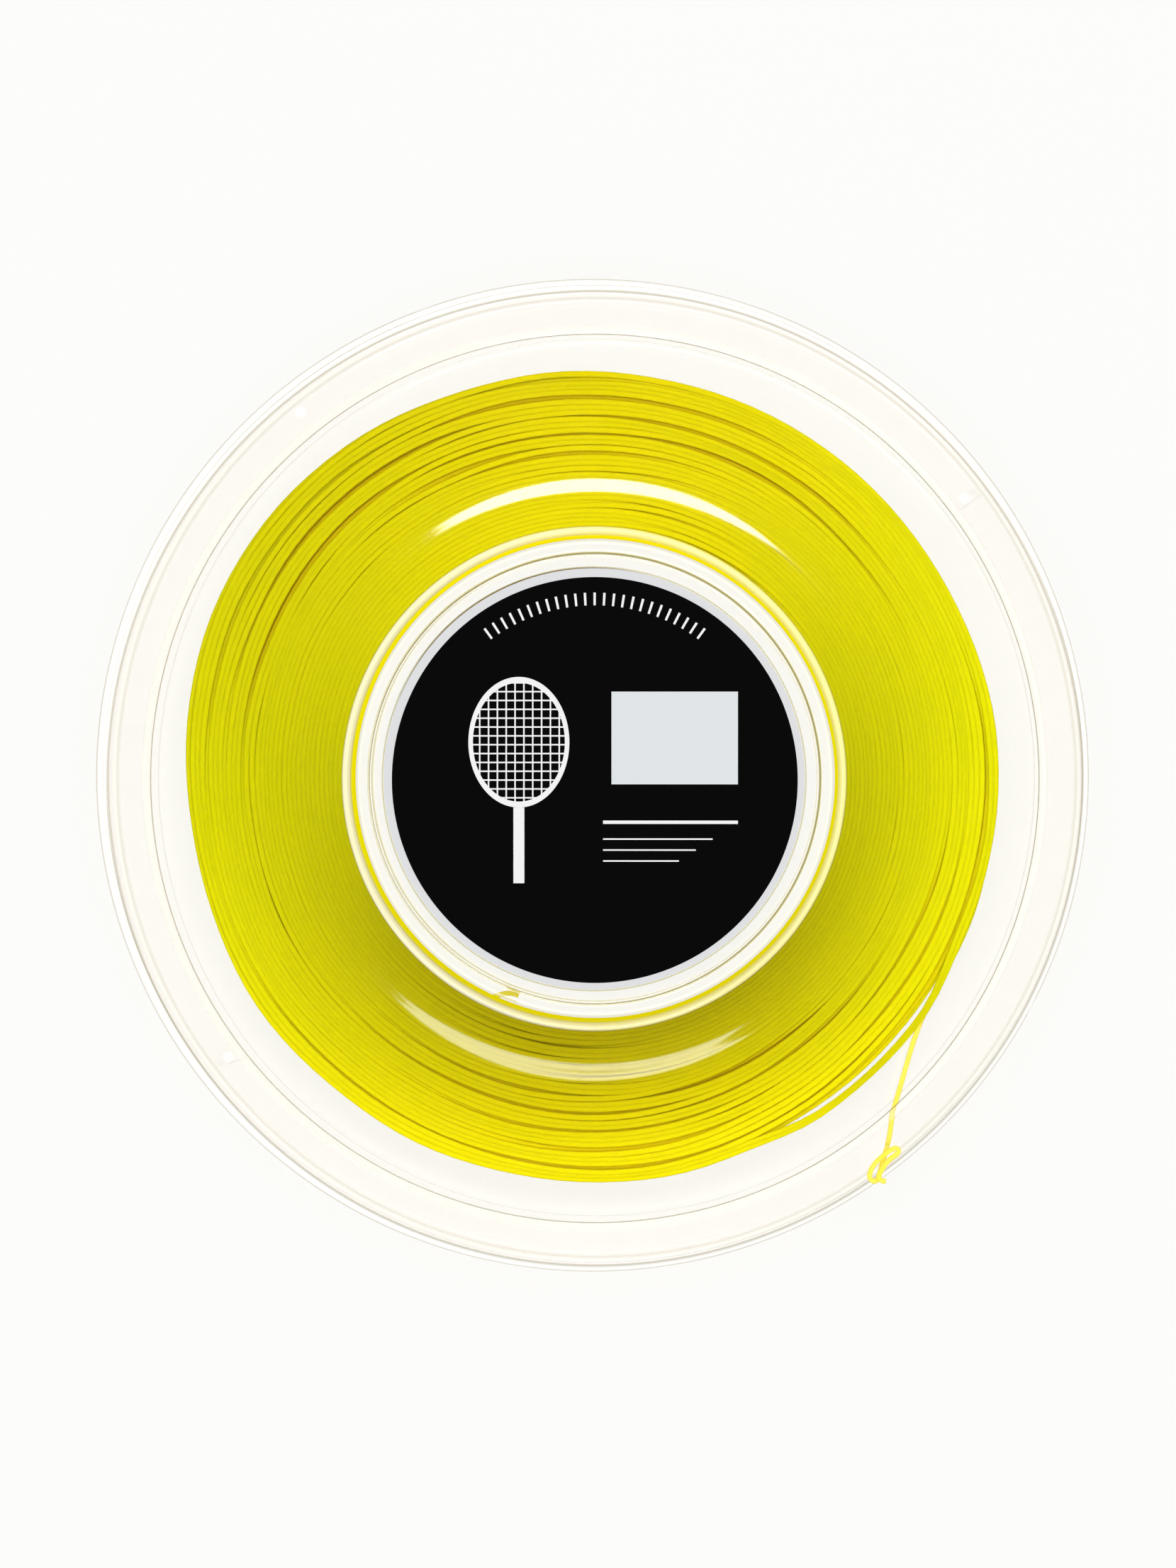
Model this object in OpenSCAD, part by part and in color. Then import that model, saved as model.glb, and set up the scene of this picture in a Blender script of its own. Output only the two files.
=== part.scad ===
// Reel of racket string. Two like halves of clear formed sheet are welded back to back at the
// feet of their hub grooves, each boss carries a round label, and one length of monofilament
// is wound between the flanges. The reel lies on its rear half: +Z is up, and the origin is on
// the surface it lies on, under the reel's axis. All sizes are in millimetres and degrees.

/* [Sheet] */
// Thickness of the clear sheet
sheet_t = 0.8; // [0.6:0.1:1]
// Bend radius of the small corners, at the middle of the sheet
corner_r = 0.8; // [0.7:0.05:1]
// Bend radius where the hub wall turns into the flange, at the middle of the sheet
hub_fillet_r = 1.6; // [1.2:0.1:2.2]

/* [Hub] */
// Radius of the hub at the weld, where the string bears
hub_r = 57.3; // [50:0.1:65]
// How much wider the hub is at the flange
hub_draft = 1.3; // [0.5:0.1:2.5]
// Width of the groove's flat foot, where the halves are welded
groove_w = 3.05; // [2:0.05:6]
// How much wider the boss is at its foot
boss_draft = 0.25; // [0.1:0.05:0.6]
// How far the boss's face lies below the rim ring's face
boss_inset = 0.4; // [0.2:0.1:1]

/* [Flange] */
// Clear width between the two flanges
inner_w = 17.2; // [15:0.2:20]
// Radius of the circle that the lip is trimmed to
rim_r = 118; // [108:0.5:130]
// Width of the lip outside the rim ring
lip_w = 1.6; // [1.4:0.1:4]
// Radial length of the rim ring's fall to the lip
ring_fall = 0.8; // [0.5:0.1:1.2]
// Width of the raised rim ring
ring_w = 8.1; // [5:0.1:11]
// Radial length of the step up to the rim ring
step_run = 1.8; // [1.4:0.1:3]
// Height of the step, and of the rim ring
step_rise = 1.2; // [0.8:0.1:1.6]
// How far the trimmed circle lies off the axis, towards -X
trim_left = 0.6; // [0:0.1:0.8]
// How far the trimmed circle lies off the axis, towards +Y
trim_up = 0.7; // [0:0.1:0.8]

/* [Tie holes] */
// Clear space round the string in the holes that its end is tied through
tie_clearance = 0.625; // [0.5:0.005:1]
// Direction of the front half's two tie holes
front_tie_angle = 128.6; // [128.4:0.1:128.8]
// Direction of the rear half's two tie holes
rear_tie_angle = 37.2; // [20:1:60]

/* [Labels] */
// Bare margin of the boss's face round each label
label_margin = 4; // [3:0.1:14]
// Thickness of each label
label_t = 0.15; // [0.1:0.05:0.2]
// Width of the pale margin round the front label's dark print
print_margin = 1.8; // [0.5:0.1:5]
// How far the rear label is stuck off the axis, towards -X
rear_label_left = 0.95; // [0:0.05:1]
// How far the rear label is stuck off the axis, towards +Y
rear_label_up = 0.75; // [0:0.05:1]

/* [String] */
// Diameter of the string
string_d = 1.25; // [1.15:0.05:1.25]
// Clear space between the wound string and the clear halves
wind_gap = 0.2; // [0.1:0.05:0.3]
// Outer radius of the wound string, on its flat side
wind_r = 95.4; // [70:0.1:105]
// How far the winding swells on its full side
swell = 3.6; // [0:0.1:4]
// Direction of the full side
swell_angle = 142; // [120:1:160]
// Half the angle that the swelling spreads over
swell_spread = 42; // [30:1:50]
// Distance between the ridges that the layers make on the winding's flat sides
ridge_pitch = 6; // [4:0.5:12]
// Depth of the valleys between those ridges
ridge_depth = 1.2; // [0.4:0.1:1.6]
// Turns of the string in its outermost layer
outer_turns = 8; // [5:1:8]
// How far below the winding's front side the outermost layer ends
end_drop = 1.25; // [1:0.05:1.5]
// Space between the outermost layer and the core under it
seat_gap = 0.15; // [0.1:0.05:0.3]
// How far the outermost turns stand off where they have come loose
slack = 1.6; // [0:0.1:2]
// Direction of the loose stretch
slack_angle = -40; // [-50:1:-30]
// Half the angle that the loose stretch spreads over
slack_spread = 24; // [18:1:30]
// Clear space round the string where it passes through the hub wall
tail_clearance = 0.2; // [0.15:0.05:0.4]

/* [Hidden] */

$fn = 96;
BEND_STEPS = 6; // straight pieces in each bend of the sheet
TURN_RINGS = 24; // rings in one turn of the outermost layer
TURN_SIDES = 6;
CORD_SIDES = 8;
LEAVE_ANGLE = -30; // direction in which the outermost layer ends and the free end starts
CLEAR_CUT = 1; // how far a cutter runs past what it cuts

// Heights above the reel's middle plane, at the middle of the sheet
foot_z = sheet_t / 2;
flange_z = inner_w / 2 + sheet_t / 2;
ring_z = flange_z + step_rise;
boss_z = ring_z - boss_inset;

half_h = ring_z + sheet_t / 2; // height of the reel's middle plane above the surface
boss_face_z = boss_z + sheet_t / 2;

// Radii, each worked out from its neighbour
boss_r = hub_r - groove_w - boss_draft;
label_r = boss_r - label_margin;
print_r = label_r - print_margin;
ring_r = rim_r - lip_w - ring_fall;
ring_in_r = ring_r - ring_w;
step_r = ring_in_r - step_run;
tie_r = (ring_in_r + ring_r) / 2;

tie_hole_d = string_d + 2 * tie_clearance;
tail_hole_d = string_d + 2 * tail_clearance;

// Section of one half's sheet, as the line at its middle from the axis to past the lip:
// each point is a radius, a height above the middle plane, and the bend's radius there
HALF_LINE = [
    [0, boss_z, 0],
    [boss_r - sheet_t / 2, boss_z, corner_r],
    [boss_r - sheet_t / 2 + boss_draft, foot_z, corner_r],
    [hub_r - sheet_t / 2, foot_z, corner_r],
    [hub_r - sheet_t / 2 + hub_draft, flange_z, hub_fillet_r],
    [step_r, flange_z, corner_r],
    [ring_in_r, ring_z, corner_r],
    [ring_r, ring_z, corner_r],
    [ring_r + ring_fall, flange_z, corner_r],
    [rim_r + trim_left + trim_up + CLEAR_CUT, flange_z, 0],
];
HUB_BEND = 4; // which point of that line is the bend from the hub to the flange

// Route of the string's inner end: from the wound string, through the hub wall, and along
// the rear half's groove. Each point is a direction and how far it lies outside the hub.
TAIL_Z = 5.6;
TAIL_POINTS = [
    [243.4, 3.0],
    [244.4, 1.6],
    [245.5, 0.35],
    [246.7, -0.75],
    [248.1, -1.55],
    [249.3, -1.85],
    [250.6, -1.95],
];
TAIL_IN_WALL = 2; // which of those points lies in the hub wall
TAIL_ROUTE = [for (p = TAIL_POINTS) [each polar(hub_r + p[1], p[0]), TAIL_Z]];

// Route of the free end: from the winding, out under the front flange, and up through a tie hole
FREE_ROUTE = [
    [82.3, -47.5, 17.12],
    [79.9, -52.9, 17.14],
    [77.5, -58.2, 17.3],
    [75.4, -64.2, 17.85],
    [73.7, -70.0, 18.3],
    [72.3, -74.8, 18.4],
    [71.45, -77.8, 18.45],
    [70.9, -80.0, 18.8],
    [70.6, -81.9, 19.3],
    [70.4, -83.4, 19.6],
    [70.15, -85.0, 19.69],
    [69.9, -86.1, 19.82],
    [69.7, -86.85, 20.24],
    [69.6, -87.2, 20.8],
    [69.5, -87.55, 21.36],
    [69.25, -88.3, 21.79],
    [69.1, -88.8, 21.91],
    [68.9, -89.4, 21.92],
];

// Route of the knot, from the end of the free end, over the front flange's rim ring
KNOT_ROUTE = [
    [68.9, -89.4, 21.92],
    [68.6, -90.35, 21.92],
    [68.3, -91.6, 21.93],
    [68.0, -92.8, 21.95],
    [67.7, -93.9, 22.0],
    [67.3, -94.8, 22.05],
    [66.7, -95.35, 22.15],
    [66.0, -95.2, 22.3],
    [65.5, -94.55, 22.5],
    [65.45, -93.7, 22.7],
    [65.7, -92.7, 22.95],
    [66.2, -91.7, 23.25],
    [66.95, -90.7, 23.5],
    [67.85, -89.8, 23.65],
    [68.85, -88.95, 23.65],
    [69.9, -88.15, 23.5],
    [70.9, -87.6, 23.2],
    [71.75, -87.5, 22.85],
    [72.2, -88.0, 22.65],
    [72.05, -88.65, 22.65],
    [71.4, -89.2, 22.8],
    [70.6, -89.75, 23.1],
    [69.8, -90.45, 23.35],
    [69.1, -91.25, 23.5],
    [68.5, -92.15, 23.55],
    [67.95, -93.05, 23.5],
    [67.6, -93.85, 23.4],
    [67.7, -94.65, 23.35],
    [68.3, -95.15, 23.2],
    [69.1, -95.3, 22.95],
];

// Colours
CLEAR = [0.93, 0.94, 0.94, 0.35];
PAPER = [0.85, 0.85, 0.85];
PRINT = [0.05, 0.05, 0.05];
YELLOW = [0.93, 0.9, 0.05];
YELLOW_DEEP = [0.85, 0.8, 0.02];

// ---- Sheet ----

function unit(v) = v / norm(v);
function polar(r, angle) = r * [cos(angle), sin(angle)];
function flat(p) = [p[0], p[1]];
function reversed(list) = [for (i = [len(list) - 1 : -1 : 0]) list[i]];
function left_of(v) = unit([-v[1], v[0]]);

// One bend of the line a-b-c with radius r, moved sideways by shift, which is positive
// to the left of the line's run
function bend(a, b, c, r, shift) =
    let (
        back = unit(a - b),
        on = unit(c - b),
        half_angle = acos(back * on) / 2,
        centre = b + unit(back + on) * r / sin(half_angle),
        start = b + back * r / tan(half_angle) - centre,
        turn = cross(back, on) < 0 ? 1 : -1,
        first = atan2(start[1], start[0]),
        sweep = turn * (180 - 2 * half_angle)
    )
    [for (i = [0 : BEND_STEPS])
        let (angle = first + sweep * i / BEND_STEPS)
        centre + polar(r - turn * shift, angle)];

// The line moved sideways by shift, with its bends
function skin(line, shift) =
    let (last = len(line) - 1)
    [
        flat(line[0]) + shift * left_of(line[1] - line[0]),
        for (i = [1 : last - 1])
            each bend(flat(line[i - 1]), flat(line[i]), flat(line[i + 1]), line[i][2], shift),
        flat(line[last]) + shift * left_of(line[last] - line[last - 1]),
    ];

module tie_holes(angle) {
    for (side = [0, 180])
        rotate(angle + side)
            translate([tie_r, 0, flange_z - CLEAR_CUT])
                cylinder(d = tie_hole_d, h = step_rise + sheet_t + 2 * CLEAR_CUT, $fn = 48);
}

// One half about the middle plane, with its outer side up
module formed_half(tie_angle) {
    intersection() {
        difference() {
            rotate_extrude($fn = 180)
                polygon(concat(skin(HALF_LINE, sheet_t / 2), reversed(skin(HALF_LINE, -sheet_t / 2))));
            tie_holes(tie_angle);
        }
        translate([-trim_left, trim_up, -CLEAR_CUT])
            cylinder(r = rim_r, h = half_h + 2 * CLEAR_CUT, $fn = 180);
    }
}

// The slanting hole through which the string's inner end enters the groove. It lies in the
// hub wall, in the direction in which the string meets the wall.
module tail_hole() {
    run = TAIL_ROUTE[TAIL_IN_WALL + 1] - TAIL_ROUTE[TAIL_IN_WALL - 1];
    up_wall = (half_h - TAIL_Z - foot_z) / (flange_z - foot_z);
    wall_r = hub_r - sheet_t / 2 + hub_draft * up_wall;
    translate([each polar(wall_r, TAIL_POINTS[TAIL_IN_WALL][0]), TAIL_Z])
        rotate(atan2(run[1], run[0]))
            rotate([0, 90, 0])
                cylinder(d = tail_hole_d, h = 4 * sheet_t, center = true, $fn = 32);
}

module front_half() {
    color(CLEAR)
        translate([0, 0, half_h])
            formed_half(front_tie_angle);
}

module rear_half() {
    color(CLEAR)
        difference() {
            translate([0, 0, half_h])
                mirror([0, 0, 1])
                    formed_half(rear_tie_angle);
            tail_hole();
        }
}

// ---- Labels ----

module front_label() {
    translate([0, 0, half_h + boss_face_z]) {
        color(PAPER)
            cylinder(r = label_r, h = label_t / 2, $fn = 180);
        color(PRINT)
            translate([0, 0, label_t / 2])
                cylinder(r = print_r, h = label_t / 2, $fn = 180);
    }
}

module rear_label() {
    color(PAPER)
        translate([-rear_label_left, rear_label_up, half_h - boss_face_z - label_t])
            cylinder(r = label_r, h = label_t, $fn = 180);
}

// ---- String ----

// How strongly a bulge round one direction acts in another, from 0 to 1
function bulge(angle, centre, spread) =
    let (off = (angle - centre + 180) - 360 * floor((angle - centre + 180) / 360) - 180)
    exp(-pow(off / spread, 2));

// Outer radius of the tightly wound string in one direction
function wound_r(angle) = wind_r + swell * bulge(angle, swell_angle, swell_spread);
function core_r(angle) = wound_r(angle) - string_d - seat_gap;

core_half_w = inner_w / 2 - wind_gap;
turn_z = core_half_w - string_d / 2;
turn_rise = 2 * turn_z - end_drop; // along the axis, over the whole outermost layer
turn_count = outer_turns * TURN_RINGS;

// Centre of one ring of the outermost layer, which climbs from the rear to the front flange
function turn_point(i) =
    let (
        along = i / turn_count,
        angle = LEAVE_ANGLE + (turn_count - i) * 360 / TURN_RINGS,
        loose = slack * sin(180 * along) * bulge(angle, slack_angle, slack_spread),
        r = wound_r(angle) - string_d / 2 + loose
    )
    [each polar(r, angle), half_h - turn_z + turn_rise * along];

TURN_ROUTE = [for (i = [0 : turn_count]) turn_point(i)];

// Least clear distance between two turns, over all rings at least half a turn apart
least_turn_gap = min([for (i = [0 : turn_count - TURN_RINGS / 2])
    min([for (j = [i + TURN_RINGS / 2 : min(turn_count, i + 2 * TURN_RINGS)])
        norm(TURN_ROUTE[j] - TURN_ROUTE[i])])]) - string_d;
echo(str("least gap between outer turns: ", least_turn_gap, " mm"));

// A tube of round section through points, as rings of corners
module tube(route, d, sides) {
    last = len(route) - 1;
    corners = [for (i = [0 : last])
        let (
            run = unit(route[min(i + 1, last)] - route[max(i - 1, 0)]),
            side = unit(cross(run, [0, 0, 1])),
            up = cross(side, run)
        )
        for (k = [0 : sides - 1])
            let (angle = 360 * k / sides)
            route[i] + d / 2 * (cos(angle) * side + sin(angle) * up)];
    walls = [for (i = [0 : last - 1], k = [0 : sides - 1])
        let (
            a = i * sides + k,
            b = i * sides + (k + 1) % sides
        )
        each [[a, b, a + sides], [b, b + sides, a + sides]]];
    start = [for (k = [1 : sides - 2]) [0, k + 1, k]];
    end = [for (k = [1 : sides - 2]) [last * sides, last * sides + k, last * sides + k + 1]];
    polyhedron(points = corners, faces = concat(walls, start, end), convexity = 10);
}

// Outline of the space beside the hub that the winding fills, from the weld to the front flange
HUB_SIDE = concat(
    [[hub_r + wind_gap, 0]],
    bend(flat(HALF_LINE[HUB_BEND - 1]), flat(HALF_LINE[HUB_BEND]), flat(HALF_LINE[HUB_BEND + 1]),
        HALF_LINE[HUB_BEND][2], -sheet_t / 2 - wind_gap)
);
ridge_from = HUB_SIDE[len(HUB_SIDE) - 1][0];
core_edge = wind_r + swell;

// The winding's flat side, out from the hub: valleys between flat-topped ridges
RIDGES = [for (r = [ridge_from + ridge_pitch / 2 : ridge_pitch : core_edge - ridge_pitch])
    each [
        [r, core_half_w],
        [r + ridge_pitch / 4, core_half_w - ridge_depth],
        [r + ridge_pitch / 2, core_half_w],
    ]];

// A ring of the space between the flanges, with these points as its upper half's outline
module core_space(flat_side) {
    outline = concat(HUB_SIDE, flat_side, [[core_edge, core_half_w]]);
    rear_outline = [for (p = reversed(outline)) if (p[1] > 0) [p[0], -p[1]]];
    translate([0, 0, half_h])
        rotate_extrude($fn = 120)
            polygon(concat(outline, rear_outline));
}

module string_core() {
    color(YELLOW_DEEP)
        intersection() {
            core_space(RIDGES);
            linear_extrude(2 * half_h)
                polygon([for (i = [0 : TURN_RINGS - 1])
                    let (angle = LEAVE_ANGLE + i * 360 / TURN_RINGS)
                    polar(core_r(angle), angle)]);
        }
}

module string_outer_turns() {
    color(YELLOW)
        tube(TURN_ROUTE, string_d, TURN_SIDES);
}

module string_inner_tail() {
    color(YELLOW)
        difference() {
            tube(TAIL_ROUTE, string_d, CORD_SIDES);
            core_space([]);
        }
}

module string_free_end() {
    color(YELLOW)
        tube(FREE_ROUTE, string_d, CORD_SIDES);
}

module string_knot() {
    color(YELLOW)
        tube(KNOT_ROUTE, string_d, CORD_SIDES);
}

front_half();
rear_half();
front_label();
rear_label();
string_core();
string_outer_turns();
string_inner_tail();
string_free_end();
string_knot();
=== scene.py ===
# %% [markdown]
# # A reel of racket string
# Two halves of clear formed sheet are welded together at the hub. Between their flanges lies
# 200 m of yellow monofilament, wound in about thirty layers. A round label sits on each boss.
# The sheet is nearly invisible, so the looks come from three things: where the sheet bends,
# how the strands lie, and what light the gloss picks up.

# %% The frame
import math

import bpy
import numpy as np
from mathutils import Matrix, Vector


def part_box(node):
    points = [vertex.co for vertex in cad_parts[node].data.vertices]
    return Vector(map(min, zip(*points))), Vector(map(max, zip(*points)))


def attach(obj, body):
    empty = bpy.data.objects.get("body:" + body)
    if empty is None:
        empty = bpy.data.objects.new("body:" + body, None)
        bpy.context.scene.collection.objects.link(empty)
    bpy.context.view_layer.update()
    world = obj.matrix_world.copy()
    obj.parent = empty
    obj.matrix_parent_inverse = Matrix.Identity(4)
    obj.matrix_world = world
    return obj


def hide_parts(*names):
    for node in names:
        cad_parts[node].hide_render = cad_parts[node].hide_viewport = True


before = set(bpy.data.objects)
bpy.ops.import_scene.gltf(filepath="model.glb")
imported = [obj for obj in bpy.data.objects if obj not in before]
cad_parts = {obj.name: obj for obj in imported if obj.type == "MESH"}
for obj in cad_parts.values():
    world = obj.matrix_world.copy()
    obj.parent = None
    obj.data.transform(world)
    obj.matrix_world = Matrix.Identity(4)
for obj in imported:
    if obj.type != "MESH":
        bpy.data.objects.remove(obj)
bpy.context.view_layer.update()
MM = 0.001

# %% [markdown]
# ## Sizes
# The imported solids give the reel's outer sizes. What lies between them, such as the groove
# round the boss, is written here once, in metres, and every later step takes it from here.

# %% Sizes
REEL_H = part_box("front_half")[1].z  # height of the front rim ring's face
MID_Z = REEL_H / 2  # the plane of the weld
STRING_D = 1.25 * MM
SHEET_T = 0.8 * MM
WELD_GAP = 0.02 * MM  # air between each half's foot and the weld's plane
INNER_HALF_W = 8.6 * MM  # from the weld's plane to the inner face of a flange

HUB_R = 57.3 * MM  # of the hub wall's outer face, at the weld
HUB_DRAFT = 1.3 * MM  # how much wider that is at the flange
CROWN_R = 67.7 * MM  # where the flange's inner part, slightly proud from forming, starts to fall
CROWN_RUN = 4 * MM  # over which it falls
CROWN_RISE = 0.33 * MM
CROWN_BEND_R = 40 * MM
GROOVE_W = 3.05 * MM  # of the floor between boss and hub wall
SEAT = 0.15 * MM  # air between the string and the sheet
OUTER_R = 95.8 * MM  # of the winding, before it swells
BOSS_DRAFT = 0.25 * MM
BOSS_INSET = 0.4 * MM  # how far the boss lies below the rim ring's face
STEP_RISE = 1.2 * MM  # from the flange to the rim ring
STEP_RUN = 1.8 * MM
RING_W = 8.1 * MM
RING_FALL = 0.8 * MM  # run of the slope from the rim ring to the lip
LIP_W = 1.6 * MM
RIM_R = 118 * MM
LIP_SHIFT = Vector((-0.6, 0.7)) * MM  # the lip's circle is trimmed a little off the axis
CORNER_R = 0.8 * MM
FILLET_R = 1.6 * MM  # from the hub wall into the flange

BOSS_R = HUB_R - GROOVE_W - BOSS_DRAFT
RING_OUT_R = RIM_R - LIP_W - RING_FALL
RING_IN_R = RING_OUT_R - RING_W
STEP_R = RING_IN_R - STEP_RUN
TIE_R = (RING_IN_R + RING_OUT_R) / 2
print(f"reel {2 * RIM_R / MM:.0f} mm across, {REEL_H / MM:.1f} mm thick")

# %% [markdown]
# ## Camera
# The reel is seen from about 1.2 m straight above. Its far circles show a little up and to the
# right of the near ones, so the camera stands slightly to that side of the axis. The long lens
# keeps the two halves almost the same size.

# %% Camera
VIEW_H = 1229.6 * MM  # from the lens to the front rim ring's face
CAMERA_SIDE = Vector((26.1, 15.1)) * MM
AIM = Vector((-1.4, -1.2)) * MM
FRAME_LONG = 372.06 * MM  # what the picture's long side spans at that face

camera = bpy.data.objects.new("camera", bpy.data.cameras.new("camera"))
bpy.context.scene.collection.objects.link(camera)
camera.data.lens = camera.data.sensor_width * VIEW_H / FRAME_LONG
camera.location = (*CAMERA_SIDE, REEL_H + VIEW_H)
look = Vector((*AIM, REEL_H)) - camera.location
side = look.cross(Vector((0, 1, 0))).normalized()
up = side.cross(look).normalized()
turned = Matrix((side, up, -look.normalized())).transposed()
camera.rotation_euler = turned.to_euler()
bpy.context.scene.camera = camera
print(f"lens {camera.data.lens:.1f} mm")

# %% [markdown]
# ## Small helpers
# Wire wraps a node socket, so that maths on sockets reads like plain Python: a * 2 + b adds
# two Math nodes. Tree makes any other node from its type, settings and inputs. Both work in
# shader trees and in geometry trees, because the same Math node serves both.


# %% Wires and trees
class Wire:
    """One output socket, or a number, on which the usual operators add Math nodes."""

    def __init__(self, tree, socket):
        self.tree = tree
        self.socket = socket

    def maths(self, operation, *others):
        return self.tree.maths(operation, self, *others)

    def __add__(self, other):
        return self.maths("ADD", other)

    def __sub__(self, other):
        return self.maths("SUBTRACT", other)

    def __rsub__(self, other):
        return self.tree.maths("SUBTRACT", other, self)

    def __mul__(self, other):
        return self.maths("MULTIPLY", other)

    def __truediv__(self, other):
        return self.maths("DIVIDE", other)

    def __rtruediv__(self, other):
        return self.tree.maths("DIVIDE", other, self)

    def __pow__(self, other):
        return self.maths("POWER", other)

    def __gt__(self, other):
        return self.maths("GREATER_THAN", other)

    def __lt__(self, other):
        return self.maths("LESS_THAN", other)

    __radd__ = __add__
    __rmul__ = __mul__

    def steps(self, low, high):
        """0 below low, 1 above high and a smooth rise between, or a fall when low is greater."""
        return self.tree.node(
            "ShaderNodeMapRange", {"interpolation_type": "SMOOTHSTEP"}, self, low, high
        )


class Tree:
    """A node tree that is built by calls."""

    def __init__(self, nodes):
        self.nodes = nodes

    def node(self, kind, settings=None, *values, out=0, **named):
        """Adds a node, sets it up, fills its inputs in order or by name, and wires output out."""
        made = self.nodes.nodes.new(kind)
        for name, value in (settings or {}).items():
            setattr(made, name, value)
        for key, value in [*enumerate(values), *named.items()]:
            if value is None:
                continue
            if isinstance(key, str):
                key = key.replace("_", " ")
            self.feed(made.inputs[key], value)
        self.last = made
        return Wire(self, made.outputs[out]) if made.outputs else made

    def feed(self, socket, value):
        if isinstance(value, Wire):
            self.nodes.links.new(value.socket, socket)
        else:
            socket.default_value = value

    def maths(self, operation, *values):
        return self.node("ShaderNodeMath", {"operation": operation}, *values)

    def vector(self, x, y, z):
        return self.node("ShaderNodeCombineXYZ", None, x, y, z)

    def split(self, vector):
        self.node("ShaderNodeSeparateXYZ", None, vector)
        return [Wire(self, output) for output in self.last.outputs]

    def blend(self, factor, first, second):
        """Mixes two colours."""
        self.node("ShaderNodeMix", {"data_type": "RGBA"})
        for index, value in ((0, factor), (6, first), (7, second)):
            self.feed(self.last.inputs[index], value)
        return Wire(self, self.last.outputs[2])

    def noise(self, vector, scale, detail):
        return self.node("ShaderNodeTexNoise", None, vector, None, scale, detail)

    def place(self):
        """Object coordinates, which lie still on a piece."""
        return self.node("ShaderNodeTexCoord", None, out=3)

    def turned_away(self):
        """0 where a surface faces the view and 1 where it is seen edge-on."""
        return self.node("ShaderNodeLayerWeight", None, 0.5, out=1)

    def see_through(self, colour):
        return self.node("ShaderNodeBsdfTransparent", None, colour)

    def mix(self, factor, first, second):
        """Mixes two shaders."""
        return self.node("ShaderNodeMixShader", None, factor, first, second)


def from_axis(x, y):
    """How far a place lies from the axis through 0, 0."""
    return (x * x + y * y).maths("SQRT")


def finish_mesh(object_, name):
    """Turns what an object's modifiers make into a plain mesh of its own."""
    depsgraph = bpy.context.evaluated_depsgraph_get()
    mesh = bpy.data.meshes.new_from_object(object_.evaluated_get(depsgraph), depsgraph=depsgraph)
    object_.modifiers.clear()
    object_.data = mesh
    mesh.name = name
    print(f"{name}: {len(mesh.vertices)} vertices, {len(mesh.polygons)} faces")
    return object_


class Geometry(Tree):
    """A Geometry Nodes tree with named inputs, and the means to run it once."""

    def __init__(self, name):
        super().__init__(bpy.data.node_groups.new(name, "GeometryNodeTree"))
        self.values = {}
        self.nodes.interface.new_socket(
            "Geometry", in_out="OUTPUT", socket_type="NodeSocketGeometry"
        )
        self.inputs = self.nodes.nodes.new("NodeGroupInput")

    def input(self, name, value, kind="Float"):
        """A named input with its value for this run."""
        item = self.nodes.interface.new_socket(
            name, in_out="INPUT", socket_type="NodeSocket" + kind
        )
        self.values[item.identifier] = value
        return Wire(self, self.inputs.outputs[name])

    def run(self, geometry, material, name):
        """Ends the tree, runs it on a new object and returns that as a plain mesh."""
        real = self.node("GeometryNodeRealizeInstances", None, geometry)
        painted = self.node("GeometryNodeSetMaterial", None, real, None, material)
        end = self.nodes.nodes.new("NodeGroupOutput")
        self.nodes.links.new(painted.socket, end.inputs[0])
        holder = bpy.data.objects.new(name, bpy.data.meshes.new(name))
        bpy.context.scene.collection.objects.link(holder)
        modifier = holder.modifiers.new(name, "NODES")
        modifier.node_group = self.nodes
        for identifier, value in self.values.items():
            modifier[identifier] = value
        return finish_mesh(holder, name)


def new_material(name):
    material = bpy.data.materials.new(name)
    material.use_nodes = True
    material.node_tree.nodes.clear()
    return material, Tree(material.node_tree)


def end_material(material, tree, shader):
    tree.node("ShaderNodeOutputMaterial", None, shader)
    print(f"{material.name}: {len(tree.nodes.nodes)} nodes")
    return material


# %% [markdown]
# ## Clear sheet
# Clear packing plastic is a dielectric: it mirrors about a twentieth of the light and bends the
# rest. Its flats are almost unseen, and its bends draw fine lines, because there the light
# takes a slanting way through the wall. So it gets real refraction, a trace of warm tint, and a
# very faint waviness from the forming. On top of that, dark lines at the bends and round the lip
# are painted on as painted shade for what the bends refract, and one beside the label is its
# painted shadow. Seen edge-on a wall would trap the light for more bounces than are traced, so
# steep walls let it straight through. At the hub's fillet and at the step a pale, milky band is
# mixed in; at the step it is painted sheen that stands for the bright reflection on the slope.
# Shadow rays pass, so that the string under it stays lit.


# %% Clear sheet: tints and marks
FLANGE_TINT = (0.985, 0.98, 0.965, 1)
RING_TINT = (0.975, 0.96, 0.94, 1)  # a little warmer, from the rim ring on
HUB_TINT = (1.0, 1.0, 0.995, 1)  # boss and groove are almost without any
RING_TINT_R = 107.4  # mm
STEEP_TINT = (0.99, 0.985, 0.97, 1)
SHADOW_TINT = (0.94, 0.93, 0.89, 1)
STEEP = (0.25, 0.4)  # how far a wall is turned away where it starts and ends to let light through
TIGHT_STEEP = (0.05, 0.2)  # the same in the tight bends at the hub and the lip
TIGHT_INSIDE, TIGHT_OUTSIDE = HUB_R * 1.1 / MM, 112  # radii of those in mm
GRAIN, WAVE = 90.0, 28.0  # of the gloss and of the forming, per metre

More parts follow.
